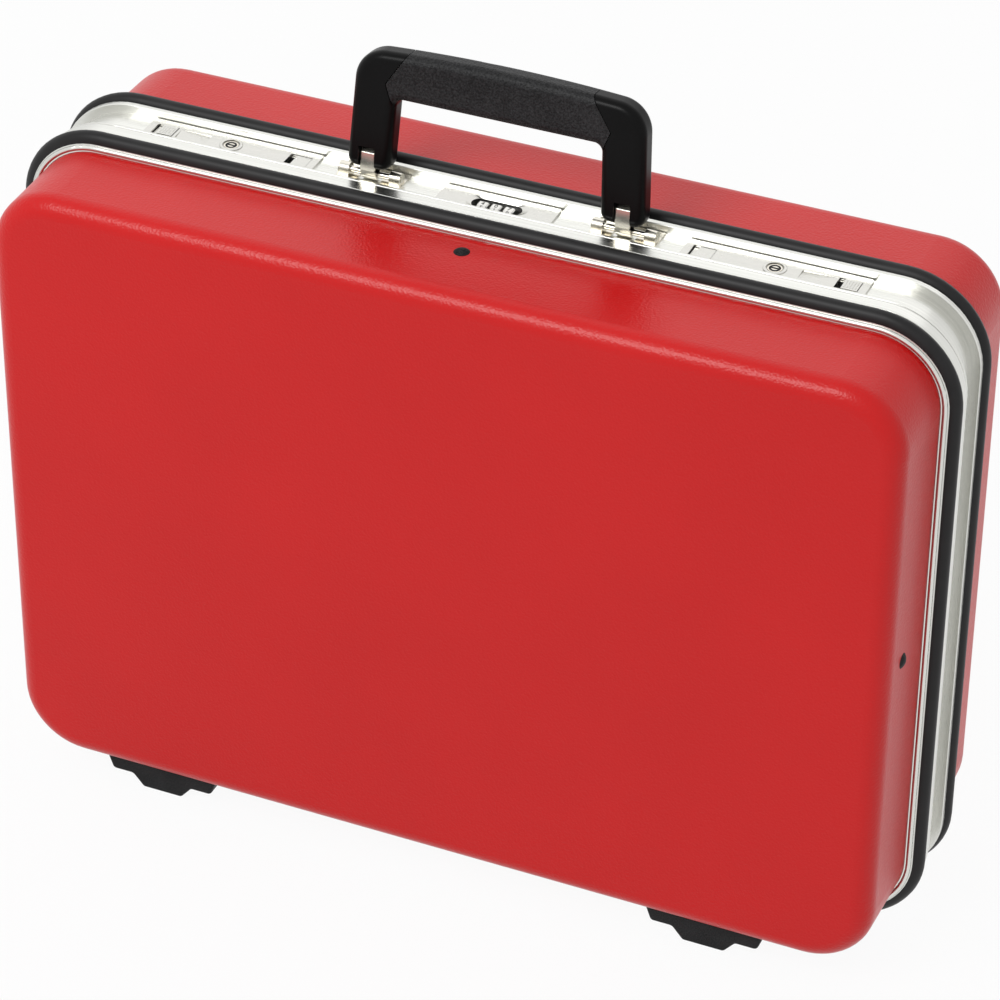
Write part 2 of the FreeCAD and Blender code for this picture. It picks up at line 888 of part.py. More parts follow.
def slide_window(side, place):
    """Make the opening in a lock plate for a pad of the slide, with room for its travel."""
    xs = lock_span(side, place, slide_pad_length + slide_travel + slide_clearance * 2)
    depths = span(channel_middle, slide_pad_width + slide_clearance * 2)
    return block(xs, depths, (floor_level - overrun, plate_level + thumb_pad_rise + overrun))


def slide_pad(side, place, top_level):
    """Make a pad of the slide, at rest at the right-hand end of its window."""
    middle = along(side, place) + slide_travel / 2
    depths = span(channel_middle, slide_pad_width)
    return block(span(middle, slide_pad_length), depths, (slide_bar_levels()[1], top_level))


def rounded_strip(xs, depths, levels, radius):
    """Make a plate on the top side with round corners in plan."""
    strip = block(xs, depths, levels)
    corners = []
    for edge in strip.Edges:
        first, last = (vertex.Point for vertex in edge.Vertexes)
        if abs(first.z - last.z) > 0 and first.x == last.x and first.y == last.y:
            corners.append(edge)
    return strip.makeFillet(radius, corners)


def wedge_recess(side):
    """Make the two sloping hollows that mark which way the slide moves."""
    near, far = sorted(lock_span(side, wedge_place, wedge_length), key=abs)
    front, back = span(channel_middle, wedge_width)
    hollows = []
    for deep_corner in ((near, back), (far, front)):
        a = point(near, front, plate_level)
        b = point(far, back, plate_level)
        c = point(deep_corner[0], deep_corner[1], plate_level)
        d = point(deep_corner[0], deep_corner[1], plate_level - wedge_cut)
        faces = [polygon_face(list(corners)) for corners in ((a, b, c), (a, b, d), (a, c, d), (b, c, d))]
        hollow = Part.makeSolid(Part.makeShell(faces))
        if hollow.Volume < 0:
            hollow.reverse()
        hollows.append(hollow)
    return hollows


def lock_plate(side):
    """Make the cover plate of a slide lock."""
    xs = lock_span(side, 0, lock_plate_length)
    depths = span(channel_middle, lock_plate_width)
    plate = rounded_strip(xs, depths, (floor_level, plate_level), lock_plate_corner)
    key_x = along(side, 0)
    collar_levels = (plate_level - lock_plate_thickness / 2, plate_level + collar_rise)
    collar = upright(collar_radius, key_x, channel_middle, collar_levels)
    collar_top = [edge for edge in collar.Edges if edge.BoundBox.ZMin > point(0, 0, plate_level).z]
    plate = joined(plate, collar.makeFillet(collar_rise * collar_round_share, collar_top))
    bore_levels = (floor_level - overrun, plate_level + collar_rise + overrun)
    plate = plate.cut(upright(barrel_radius + barrel_clearance, key_x, channel_middle, bore_levels))
    ring_levels = (plate_level - barrel_ring_cut, plate_level + collar_rise + overrun)
    plate = plate.cut(upright(barrel_radius + barrel_ring_gap, key_x, channel_middle, ring_levels))
    plate = plate.cut(slide_window(side, slide_window_place))
    plate = plate.cut(slide_window(side, -slide_window_place))
    for hollow in wedge_recess(side):
        plate = plate.cut(hollow)
    return plate.Solids[0]


def bolt_x(side):
    """Return the X ends of the bolt's block, which is on the outer half of each lock."""
    return lock_span(side, bolt_place, bolt_block_length)


def keeper_x(side):
    """Return the X ends of the keeper's fin, beside the bolt's finger."""
    tip = min(bolt_x(side)) - bolt_finger_length
    return (tip - keeper_gap - keeper_thickness, tip - keeper_gap)


def keeper_levels():
    """Return the lowest and highest level of the keeper's fin."""
    return (bolt_bottom_level - keeper_eye_clearance, inner_level - keeper_hang)


def lock_case(side):
    """Make the folded steel case that hangs under a lock plate, with a slot for the keeper."""
    xs = lock_span(side, 0, lock_case_length)
    depths = span(channel_middle, lock_case_width)
    case = block(xs, depths, (lock_case_floor_level, floor_level))
    inner_xs = (min(xs) + lock_case_wall, max(xs) - lock_case_wall)
    inner_depths = (min(depths) + lock_case_wall, max(depths) - lock_case_wall)
    inner_levels = (lock_case_floor_level + lock_case_wall, floor_level + overrun)
    case = case.cut(block(inner_xs, inner_depths, inner_levels))
    fin = keeper_x(side)
    slot_xs = (min(fin) - keeper_slot_clearance, max(fin) + keeper_slot_clearance)
    slot_depths = (min(depths) - overrun, min(depths) + lock_case_wall + overrun)
    low, high = keeper_levels()
    slot_low = max(low - keeper_slot_clearance, lock_case_floor_level + lock_case_wall)
    case = case.cut(block(slot_xs, slot_depths, (slot_low, high + keeper_slot_clearance)))
    return case.Solids[0]


def slide_bar_levels():
    """Return the under and upper level of the slide's bar."""
    upper = floor_level - slide_clearance
    return (upper - slide_bar_thickness, upper)


def lock_slide(side):
    """Make the slide: a bar under the plate, a thumb pad and a marker pad."""
    under, upper = slide_bar_levels()
    key_x = along(side, 0)
    case_start = key_x - lock_case_length / 2 + lock_case_wall
    right_pad = span(key_x + slide_window_place + slide_travel / 2, slide_pad_length)
    bar_xs = (case_start + slide_travel + slide_end_clearance, max(right_pad))
    bar = block(bar_xs, span(channel_middle, slide_bar_width), (under, upper))
    slit_xs = (min(right_pad) - slide_travel - slide_clearance, min(right_pad))
    bar = bar.cut(block(slit_xs, span(channel_middle, slit_width), (under - overrun, upper + overrun)))
    pad = slide_pad(side, slide_window_place, plate_level + thumb_pad_rise)
    marker = slide_pad(side, -slide_window_place, plate_level - marker_pad_drop)
    slide = joined(bar, pad, marker)
    room = barrel_radius + slide_clearance
    slot_xs = (key_x - room, key_x + room + slide_travel)
    slot = block(slot_xs, span(channel_middle, room * 2), (under - overrun, upper + overrun))
    return slide.cut(slot).Solids[0]


def lock_bolt(side):
    """Make the bolt that hangs from the slide, with a finger towards the keeper."""
    under = slide_bar_levels()[0]
    xs = bolt_x(side)
    body = block(xs, span(channel_middle, bolt_block_width), (bolt_bottom_level, under))
    finger_xs = (min(xs) - bolt_finger_length, min(xs))
    finger_levels = (bolt_bottom_level, bolt_bottom_level + bolt_finger_height)
    finger = block(finger_xs, span(channel_middle, bolt_finger_width), finger_levels)
    return joined(body, finger)


def keeper(side):
    """Make the keeper: a foot under the lid frame and an eyed fin that enters the lock case."""
    fin_xs = keeper_x(side)
    middle = sum(fin_xs) / 2
    low, high = keeper_levels()
    foot_low = inner_level - keeper_foot_thickness
    foot_levels = (foot_low, inner_level)
    foot_plate = block(span(middle, keeper_foot_length), (keeper_foot_start, keeper_foot_end), foot_levels)
    fin = block(fin_xs, (keeper_foot_start, keeper_reach), (low, high))
    root = block(fin_xs, (keeper_foot_start, keeper_foot_end), (foot_low, inner_level))
    eye_depths = span(channel_middle, bolt_finger_width + keeper_eye_clearance * 2)
    eye_low = bolt_bottom_level - keeper_eye_clearance / 2
    eye_high = bolt_bottom_level + bolt_finger_height + keeper_eye_clearance / 2
    eye_xs = (min(fin_xs) - overrun, max(fin_xs) + overrun)
    body = joined(foot_plate, root, fin)
    body = body.cut(block(eye_xs, eye_depths, (eye_low, eye_high)))
    for x in span(middle, keeper_rivet_spacing):
        bore = keeper_rivet_radius + rivet_clearance
        levels = (foot_low - overrun, inner_level)
        body = body.cut(upright(bore, x, keeper_rivet_depth, levels))
    return body.Solids[0]


def keeper_rivets():
    """Make the flush rivets that hold both keepers to the lid frame's lip."""
    rivets = []
    foot_low = inner_level - keeper_foot_thickness
    for side in (-1, 1):
        for x in span(sum(keeper_x(side)) / 2, keeper_rivet_spacing):
            shank_levels = (foot_low, inner_level + frame_thickness)
            shank = upright(keeper_rivet_radius, x, keeper_rivet_depth, shank_levels)
            head_levels = (foot_low - keeper_rivet_head_height, foot_low)
            head = upright(keeper_rivet_head_radius, x, keeper_rivet_depth, head_levels)
            rivets.append(joined(shank, head))
    return Part.makeCompound(rivets)


def key_cylinder(side):
    """Make a key barrel with its keyway."""
    top = plate_level + barrel_rise
    key_x = along(side, 0)
    barrel = upright(barrel_radius, key_x, channel_middle, (barrel_bottom_level, top))
    keyway_xs = span(key_x, keyway_length)
    keyway_depths = span(channel_middle, keyway_width)
    return barrel.cut(block(keyway_xs, keyway_depths, (top - keyway_cut, top + overrun))).Solids[0]


def lock_cam(side):
    """Make the cam under a key barrel."""
    levels = (barrel_bottom_level - cam_thickness, barrel_bottom_level)
    key_x = along(side, 0)
    bar = block(span(key_x, cam_width), span(channel_middle, cam_length), levels)
    limit = upright(cam_length / 2, key_x, channel_middle, levels)
    return bar.common(limit).Solids[0]


def slide_spring(side):
    """Make the bowed leaf spring between the slide's bar and the back wall of its case."""
    wall_depth = channel_middle + lock_case_width / 2 - lock_case_wall
    crest_depth = wall_depth - spring_bow - spring_thickness
    under, upper = slide_bar_levels()
    level = (under + upper) / 2 - spring_height / 2
    middle = along(side, spring_place)
    start, end = span(middle, spring_length)
    outer_arc = Part.Arc(
        point(start, wall_depth - spring_thickness, level),
        point(middle, crest_depth, level),
        point(end, wall_depth - spring_thickness, level),
    )
    inner_arc = Part.Arc(
        point(end, wall_depth, level),
        point(middle, crest_depth + spring_thickness, level),
        point(start, wall_depth, level),
    )
    edges = [
        outer_arc.toShape(),
        Part.makeLine(point(end, wall_depth - spring_thickness, level), point(end, wall_depth, level)),
        inner_arc.toShape(),
        Part.makeLine(point(start, wall_depth, level), point(start, wall_depth - spring_thickness, level)),
    ]
    return Part.Face(Part.Wire(edges)).extrude(Vector(0, 0, spring_height))


# Combination lock


def stadium(length, width, level):
    """Draw a flat outline with half-round ends, at the middle of the channel."""
    radius = width / 2
    reach = length / 2 - radius
    front, back = span(channel_middle, width)
    edges = [
        Part.makeLine(point(-reach, front, level), point(reach, front, level)),
        Part.Arc(point(reach, front, level), point(length / 2, channel_middle, level),
                 point(reach, back, level)).toShape(),
        Part.makeLine(point(reach, back, level), point(-reach, back, level)),
        Part.Arc(point(-reach, back, level), point(-length / 2, channel_middle, level),
                 point(-reach, front, level)).toShape(),
    ]
    return Part.Wire(edges)


def combination_plate():
    """Make the centre plate with its window, which has a long bevel."""
    xs = span(0, combination_plate_length)
    depths = span(channel_middle, lock_plate_width)
    plate = rounded_strip(xs, depths, (floor_level, plate_level), lock_plate_corner)
    inner = stadium(window_length, window_width, floor_level + window_lip)
    outer_length = window_length + window_bevel_length * 2
    outer = stadium(outer_length, window_width + window_bevel_width * 2, plate_level)
    plate = plate.cut(Part.makeLoft([inner, outer], True, True))
    through = Part.Face(stadium(window_length, window_width, floor_level - overrun))
    lift = Vector(0, 0, lock_plate_thickness + overrun + overrun)
    return plate.cut(through.extrude(lift)).Solids[0]


def combination_case():
    """Make the folded case that carries the axle of the number wheels."""
    xs = span(0, combination_case_length)
    depths = span(channel_middle, combination_case_width)
    case = block(xs, depths, (combination_case_floor_level, floor_level))
    wall = combination_case_wall
    inner_xs = (min(xs) + wall, max(xs) - wall)
    inner_depths = (min(depths) + wall, max(depths) - wall)
    inner_levels = (combination_case_floor_level + wall, floor_level + overrun)
    case = case.cut(block(inner_xs, inner_depths, inner_levels))
    bore_xs = (min(xs) - overrun, max(xs) + overrun)
    bore = crossbar(axle_radius + rod_clearance, bore_xs, wheel_depth, wheel_axis_level)
    return case.cut(bore).Solids[0]


def combination_axle():
    """Make the axle of the number wheels."""
    return crossbar(axle_radius, span(0, combination_case_length), wheel_depth, wheel_axis_level)


def number_wheel(number):
    """Make a ten-sided number wheel with bevelled edges."""
    middle = (number - (wheel_count - 1) / 2) * wheel_pitch
    low, high = span(middle, wheel_width)
    axis = point(low, wheel_depth, wheel_axis_level)
    corners = []
    for face in range(wheel_face_count):
        angle = 2 * math.pi * (face + half_share) / wheel_face_count
        offset = Vector(0, wheel_radius * math.sin(angle), wheel_radius * math.cos(angle))
        corners.append(axis + offset)
    drum = polygon_face(corners).extrude(Vector(high - low, 0, 0))
    ends = []
    for edge in drum.Edges:
        first, last = (vertex.Point for vertex in edge.Vertexes)
        if first.x == last.x:
            ends.append(edge)
    drum = drum.makeChamfer(wheel_edge_chamfer, ends)
    bore = crossbar(axle_radius + axle_clearance, (low, high), wheel_depth, wheel_axis_level)
    return drum.cut(bore).Solids[0]


# Handle


def handle_heights():
    """Return the heights of the rod, the arms' feet, the grip's underside and its top."""
    axis_z = point(0, handle_depth, rod_level).z
    top = axis_z + handle_rise
    return axis_z, axis_z + arm_lift, top - grip_height, top


def handle_outline():
    """Draw the handle's arch with sharp corners in the plane of the rods, as a closed wire."""
    axis_z, bottom, under, top = handle_heights()
    outer = arm_place + arm_width / 2
    inner = arm_place - arm_width / 2

    def corner(side, half_at_rod, z):
        return Vector(side * (half_at_rod - arm_flare_share * (z - axis_z)), 0, z)

    corners = [
        corner(1, outer, top),
        corner(1, outer, bottom),
        corner(1, inner, bottom),
        corner(1, inner, under),
        corner(-1, inner, under),
        corner(-1, inner, bottom),
        corner(-1, outer, bottom),
        corner(-1, outer, top),
    ]
    edges = [Part.makeLine(first, last) for first, last in zip(corners, corners[1:])]
    edges.append(Part.Arc(corners[-1], Vector(0, 0, top + handle_crown), corners[0]).toShape())
    return Part.Wire(edges)


def handle_body():
    """Make the whole arch of the handle with its rounded corners and edges."""
    half = handle_thickness / 2
    face = Part.Face(handle_outline())
    face.translate(Vector(0, y_of(handle_depth) - half, 0))
    solid = face.extrude(Vector(0, handle_thickness, 0))
    axis_z, bottom, under, top = handle_heights()
    for height, radius in ((top, handle_outer_radius), (under, handle_inner_radius), (bottom, arm_foot_round)):
        corners = []
        for edge in solid.Edges:
            box = edge.BoundBox
            across = box.YLength > edge_tolerance and box.XLength < edge_tolerance
            if across and abs(box.ZMin - height) < edge_tolerance and box.ZLength < edge_tolerance:
                corners.append(edge)
        solid = solid.makeFillet(radius, corners)
    outlines = [edge for edge in solid.Edges if edge.BoundBox.YLength < edge_tolerance]
    return solid.makeFillet(handle_edge_round, outlines)


def leaned(shape):
    """Lean a piece of the handle back about the rods, as the handle rests."""
    turned = shape.copy()
    turned.rotate(point(0, handle_depth, rod_level), Vector(1, 0, 0), -handle_lean)
    return turned


def seam_prism(shift):
    """Make the space between the two bent seams, with its sides moved by a shift."""
    axis_z, bottom, under, top = handle_heights()
    high = top + handle_crown + overrun
    low = under - overrun
    apex = under + grip_height * seam_apex_share
    back = y_of(handle_depth) - handle_thickness
    halves = ((seam_bottom_place, low), (seam_apex_place, apex), (seam_top_place, high))
    corners = [Vector(half + shift, back, z) for half, z in halves]
    corners += [Vector(-half - shift, back, z) for half, z in reversed(halves)]
    return polygon_face(corners).extrude(Vector(0, handle_thickness + handle_thickness, 0))


def handle_core():
    """Make the flat steel bar that joins the grip to the arms."""
    axis_z = point(0, handle_depth, rod_level).z
    middle_z = axis_z + handle_rise - grip_height / 2
    low = Vector(-core_length / 2, y_of(handle_depth) - core_thickness / 2, middle_z - core_width / 2)
    return Part.makeBox(core_length, core_thickness, core_width, low)


def handle_grip(body):
    """Cut the grip out of the arch."""
    return body.common(seam_prism(0)).cut(handle_core()).Solids[0]


def strap_section(x, gap):
    """Draw a strap's loop under its rod with a stepped front leg, grown by a gap, as a face."""
    radius = rod_radius + hinge_running_clearance + strap_thickness / 2
    step = radius + strap_step
    centre = point(x, handle_depth, rod_level)

    def at(y, z):
        return centre + Vector(0, y, z)

    front_leg = [
        at(-radius, strap_reach),
        at(-radius, strap_step_high + strap_step),
        at(-step, strap_step_high),
        at(-step, strap_step_low),
        at(-radius, 0),
    ]
    edges = [Part.makeLine(first, last) for first, last in zip(front_leg, front_leg[1:])]
    edges.append(Part.Arc(at(-radius, 0), at(0, -radius), at(radius, 0)).toShape())
    edges.append(Part.makeLine(at(radius, 0), at(radius, strap_reach)))
    outline = Part.Wire(edges).makeOffset2D(strap_thickness / 2 + gap)
    return Part.Face(outline)


def handle_strap(side):
    """Make the steel strap that hooks an arm to its rod."""
    start = side * arm_place - strap_width / 2
    return strap_section(start, 0).extrude(Vector(strap_width, 0, 0))


def handle_arm(body, side):
    """Cut an arm out of the arch, with its notch and the slots of its strap."""
    outer = arm_place + arm_width
    axis_z = point(0, handle_depth, rod_level).z
    low = Vector(min(0, side * outer), y_of(handle_depth) - handle_thickness, axis_z)
    height = handle_rise + handle_crown + overrun
    half_space = Part.makeBox(outer, handle_thickness + handle_thickness, height, low)
    arm = body.common(half_space).cut(seam_prism(seam_gap)).cut(handle_core())
    middle = side * arm_place
    front = handle_depth - handle_thickness / 2 - overrun
    notch_levels = (rod_level, rod_level + arm_lift + notch_height)
    arm = arm.cut(block(span(middle, notch_width), (front, handle_depth - notch_back), notch_levels))
    slot_width = strap_width + strap_clearance * 2
    slot = strap_section(middle - slot_width / 2, strap_clearance)
    arm = arm.cut(slot.extrude(Vector(slot_width, 0, 0)))
    return arm.Solids[0]


def handle_pin(side):
    """Make the rod that an arm's strap turns on."""
    return crossbar(rod_radius, span(side * arm_place, rod_length), handle_depth, rod_level)


def handle_mount(side):
    """Make the plate with two bosses that holds a rod."""
    middle = side * arm_place
    plate_levels = (floor_level, floor_level + mount_plate_thickness)
    plate = block(span(middle, mount_plate_length), span(channel_middle, lock_plate_width), plate_levels)
    window = block(span(middle, mount_window_length), span(handle_depth, mount_window_width),
                   (floor_level - overrun, rod_level))
    plate = plate.cut(window)
    for boss_side in (-1, 1):
        xs = span(middle + boss_side * boss_pitch / 2, boss_length)
        stem = block(xs, span(handle_depth, boss_radius * 2), (floor_level, rod_level))
        plate = joined(plate, stem, crossbar(boss_radius, xs, handle_depth, rod_level))
    bore_xs = span(middle, mount_plate_length + overrun)
    return plate.cut(crossbar(rod_radius + rod_clearance, bore_xs, handle_depth, rod_level)).Solids[0]


def all_pieces():
    """Return every piece under the name of its file."""
    pieces = {
        "lid_shell": plain_shell(),
        "lid_bumper": lid_bumper(),
        "lid_left_foot": foot(left_foot_place),
        "lid_right_foot": foot(right_foot_place),
        "lid_foot_screws": lid_foot_screws(),
    }
    front_names = list(pieces)
    for name in front_names:
        pieces[name.replace("lid_", "base_")] = mirrored_to_back(pieces[name])
    pieces["lid_shell"] = lid_shell(pieces["lid_shell"])
    pieces["lid_rivets"] = lid_rivets()
    pieces["lid_rivet_washers"] = lid_rivet_washers()
    pieces["lid_frame"] = lid_frame()
    pieces["base_frame"] = base_frame()
    pieces["lid_hinge_leaves"] = lid_hinge_leaves()
    pieces["base_hinge_leaves"] = base_hinge_leaves()
    pieces["hinge_pins"] = hinge_pins()
    pieces["keeper_rivets"] = keeper_rivets()
    pieces["lid_hinge_rivets"] = hinge_rivets(
        lid_hinge_rivet_depth, flange_level, lid_hinge_rivet_radius, lid_hinge_rivet_head_radius)
    pieces["base_hinge_rivets"] = hinge_rivets(
        base_hinge_rivet_depth, floor_level, base_hinge_rivet_radius, base_hinge_rivet_head_radius)
    body = handle_body()
    for side, word in ((-1, "left"), (1, "right")):
        pieces[word + "_lock_plate"] = lock_plate(side)
        pieces[word + "_lock_case"] = lock_case(side)
        pieces[word + "_lock_slide"] = lock_slide(side)
        pieces[word + "_lock_bolt"] = lock_bolt(side)
        pieces[word + "_keeper"] = keeper(side)
        pieces[word + "_key_cylinder"] = key_cylinder(side)
        pieces[word + "_lock_cam"] = lock_cam(side)
        pieces[word + "_slide_spring"] = slide_spring(side)
        pieces["handle_" + word + "_arm"] = leaned(handle_arm(body, side))
        pieces["handle_" + word + "_strap"] = leaned(handle_strap(side))
        pieces["handle_" + word + "_pin"] = handle_pin(side)
        pieces["handle_" + word + "_mount"] = handle_mount(side)
    pieces["handle_grip"] = leaned(handle_grip(body))
    pieces["handle_core"] = leaned(handle_core())
    pieces["combination_plate"] = combination_plate()
    pieces["combination_case"] = combination_case()
    pieces["combination_axle"] = combination_axle()
    for number, word in enumerate(("left", "middle", "right")):
        pieces["number_wheel_" + word] = number_wheel(number)
    return pieces


os.makedirs("parts", exist_ok=True)
for node, shape in all_pieces().items():
    shape.exportStep("parts/" + node + ".step")
    print(node, len(shape.Solids), "solids", round(shape.Volume), "mm3", shape.isValid())
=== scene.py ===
"""A red hard case in an aluminium double frame: finishes, fine detail, light and camera."""
import json
import math

import bpy
from mathutils import Matrix, Vector


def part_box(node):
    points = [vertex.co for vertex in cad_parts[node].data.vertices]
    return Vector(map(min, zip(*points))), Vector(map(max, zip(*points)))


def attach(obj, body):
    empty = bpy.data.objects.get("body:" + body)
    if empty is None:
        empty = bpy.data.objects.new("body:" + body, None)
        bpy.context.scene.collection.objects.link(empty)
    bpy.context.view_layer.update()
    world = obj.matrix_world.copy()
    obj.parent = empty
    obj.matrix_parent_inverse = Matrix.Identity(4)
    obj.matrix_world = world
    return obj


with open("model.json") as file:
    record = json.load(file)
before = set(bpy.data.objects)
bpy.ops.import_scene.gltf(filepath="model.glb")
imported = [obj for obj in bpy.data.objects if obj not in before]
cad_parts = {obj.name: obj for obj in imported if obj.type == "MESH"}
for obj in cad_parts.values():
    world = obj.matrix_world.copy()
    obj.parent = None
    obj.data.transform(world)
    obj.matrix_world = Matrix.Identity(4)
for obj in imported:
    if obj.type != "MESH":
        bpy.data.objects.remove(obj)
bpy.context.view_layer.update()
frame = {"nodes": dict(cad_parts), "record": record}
nodes = frame["nodes"]


# Tools for finishes

# Places of the colour sockets on a Mix node
MIX_FACTOR = 0
MIX_FIRST = 6
MIX_SECOND = 7
MIX_RESULT = 2

PLAIN_DETAIL = 2.0
FINE_DETAIL = 3.0
FINEST_DETAIL = 4.0


def tone(red, green, blue):
    """Return a linear colour with full cover."""
    return (red, green, blue, 1.0)


class Wire:
    """A shader socket that takes Python's operators."""

    def __init__(self, finish, socket):
        self.finish = finish
        self.socket = socket

    def _math(self, operation, first, second):
        return self.finish.add("ShaderNodeMath", {"operation": operation}, {0: first, 1: second})

    def __add__(self, other):
        return self._math("ADD", self, other)

    def __radd__(self, other):
        return self._math("ADD", other, self)

    def __mul__(self, other):
        return self._math("MULTIPLY", self, other)

    def __rmul__(self, other):
        return self._math("MULTIPLY", other, self)

    def between(self, low, high):
        """Map low to 0 and high to 1, and cut off what lies beyond."""
        return self.finish.add(
            "ShaderNodeMapRange", {"clamp": True}, {"Value": self, "From Min": low, "From Max": high})


class Finish:
    """A material around one Principled shader."""

    def __init__(self, name, **constants):
        self.material = bpy.data.materials.new(name)
        self.material.use_nodes = True
        self.tree = self.material.node_tree
        self.shader = self.tree.nodes["Principled BSDF"]
        self.set(**constants)

    def feed(self, socket, value):
        """Link a wire to a socket, or set the socket's own value."""
        if isinstance(value, Wire):
            self.tree.links.new(value.socket, socket)
        else:
            socket.default_value = value

    def set(self, **sockets):
        """Feed the shader's sockets, with an underscore for a space in a socket's name."""
        for key, value in sockets.items():
            self.feed(self.shader.inputs[key.replace("_", " ")], value)

    def add(self, kind, settings=None, inputs=None, output=0):
        """Add a node, set it up, feed its sockets and return one of its outputs."""
        node = self.tree.nodes.new(kind)
        for key, value in (settings or {}).items():
            setattr(node, key, value)
        for key, value in (inputs or {}).items():
            self.feed(node.inputs[key], value)
        return Wire(self, node.outputs[output])

    def place(self, scale=(1, 1, 1)):
        """Return Object coordinates, scaled."""
        coordinates = self.add("ShaderNodeTexCoord", output="Object")
        return self.add("ShaderNodeMapping", inputs={0: coordinates, "Scale": scale})

    def noise(self, vector, scale, detail=PLAIN_DETAIL):
        """Return a soft noise between 0 and 1."""
        return self.add("ShaderNodeTexNoise", inputs={"Vector": vector, "Scale": scale, "Detail": detail})

    def cells(self, vector, scale):
        """Return the distance inside the rounded cells of a cell pattern."""
        return self.add("ShaderNodeTexVoronoi", {"feature": "SMOOTH_F1"}, {"Vector": vector, "Scale": scale})

    def mix(self, factor, first, second):
        """Mix two colours."""
        inputs = {MIX_FACTOR: factor, MIX_FIRST: first, MIX_SECOND: second}
        return self.add("ShaderNodeMix", {"data_type": "RGBA"}, inputs, output=MIX_RESULT)

    def relief(self, height, distance, strength):
        """Return a normal bumped by a height."""
        return self.add(
            "ShaderNodeBump", inputs={"Height": height, "Distance": distance, "Strength": strength})


# Red shells

RED_DARK = tone(0.495, 0.0010, 0.0011)
RED_LIGHT = tone(0.555, 0.0025, 0.0027)
RED_SHADE_RANGE = (0.3, 0.7)
RED_CLOUDS = 9
RED_SPECKS = 2600
RED_CLOUD_SHARE = 0.5
RED_SPECULAR = 0.33
RED_ROUGHNESS = 0.27
RED_ROUGHNESS_SPREAD = 0.10
LEATHER_CELLS = 900
LEATHER_WANDER = 420
LEATHER_WANDER_SHARE = 0.25
LEATHER_DEPTH = 0.00018
LEATHER_STRENGTH = 0.8


def moulded_red():
    """Red moulded plastic with a fine leather grain."""
    finish = Finish("moulded_red", Specular_IOR_Level=RED_SPECULAR)
    here = finish.place()
    grain = finish.cells(here, LEATHER_CELLS)
    wander = finish.noise(here, LEATHER_WANDER, FINE_DETAIL)
    cloud = finish.noise(here, RED_CLOUDS, FINE_DETAIL)
    speck = finish.noise(here, RED_SPECKS)
    shade = cloud * RED_CLOUD_SHARE + speck * (1 - RED_CLOUD_SHARE)
    height = grain + wander * LEATHER_WANDER_SHARE
    finish.set(
        Base_Color=finish.mix(shade.between(*RED_SHADE_RANGE), RED_DARK, RED_LIGHT),
        Roughness=RED_ROUGHNESS + RED_ROUGHNESS_SPREAD * wander,
        Normal=finish.relief(height, LEATHER_DEPTH, LEATHER_STRENGTH),
    )
    return finish.material


# Aluminium frame

ALUMINIUM_DARK = tone(0.60, 0.60, 0.568)
ALUMINIUM_LIGHT = tone(0.76, 0.76, 0.722)
ALUMINIUM_SHADE_RANGE = (0.25, 0.75)
ALUMINIUM_ROUGHNESS = 0.20
ALUMINIUM_ROUGHNESS_SPREAD = 0.14
BRUSH_LINES = (3.0, 1500.0, 3.0)
BRUSH_SMEARS = (6.0, 160.0, 6.0)
BRUSH_DEPTH = 0.00004
BRUSH_STRENGTH = 0.35


def brushed_aluminium():
    """Satin aluminium extrusion, brushed along its length."""
    finish = Finish("brushed_aluminium", Metallic=1.0)
    lines = finish.noise(finish.place(BRUSH_LINES), 1.0, FINEST_DETAIL)
    smears = finish.noise(finish.place(BRUSH_SMEARS), 1.0)
    finish.set(
        Base_Color=finish.mix(lines.between(*ALUMINIUM_SHADE_RANGE), ALUMINIUM_DARK, ALUMINIUM_LIGHT),
        Roughness=ALUMINIUM_ROUGHNESS + ALUMINIUM_ROUGHNESS_SPREAD * smears,
        Normal=finish.relief(lines, BRUSH_DEPTH, BRUSH_STRENGTH),
    )
    return finish.material


# Rubber cords

RUBBER_DARK = tone(0.0045, 0.0042, 0.0045)
RUBBER_DUSTY = tone(0.012, 0.0115, 0.012)
RUBBER_SPECULAR = 0.28
RUBBER_ROUGHNESS = 0.36
RUBBER_ROUGHNESS_SPREAD = 0.16
DUST_SCALE = 60
DUST_RANGE = (0.45, 0.8)
PORE_SCALE = 2400
PORE_DEPTH = 0.00003
PORE_STRENGTH = 0.4


def cord_rubber():
    """Near-black rubber with a dull sheen."""
    finish = Finish("cord_rubber", Specular_IOR_Level=RUBBER_SPECULAR)
    here = finish.place()
    dust = finish.noise(here, DUST_SCALE, FINEST_DETAIL)
    pores = finish.noise(here, PORE_SCALE)
    finish.set(
        Base_Color=finish.mix(dust.between(*DUST_RANGE), RUBBER_DARK, RUBBER_DUSTY),
        Roughness=RUBBER_ROUGHNESS + RUBBER_ROUGHNESS_SPREAD * dust,
        Normal=finish.relief(pores, PORE_DEPTH, PORE_STRENGTH),
    )
    return finish.material


# Steel pieces

DRAWN_ALONG_X = (25.0, 1800.0, 25.0)
DRAWN_ALONG_Y = (1800.0, 25.0, 25.0)
BLOOM_SCALE = 160
STEEL_LINE_SHARE = 0.6
STEEL_BLOOM_SHARE = 0.4
STEEL_ROUGHNESS_SPREAD = 0.12
STEEL_LINE_DEPTH = 0.00002
STEEL_LINE_STRENGTH = 0.3


def plated_steel(name, dark, light, roughness, drawn):
    """Plated sheet steel with faint drawing lines."""
    finish = Finish(name, Metallic=1.0)
    lines = finish.noise(finish.place(drawn), 1.0, FINE_DETAIL)
    bloom = finish.noise(finish.place(), BLOOM_SCALE, FINE_DETAIL)
    finish.set(
        Base_Color=finish.mix(lines * STEEL_LINE_SHARE + bloom * STEEL_BLOOM_SHARE, dark, light),
        Roughness=roughness + STEEL_ROUGHNESS_SPREAD * bloom,
        Normal=finish.relief(lines, STEEL_LINE_DEPTH, STEEL_LINE_STRENGTH),
    )
    return finish.material


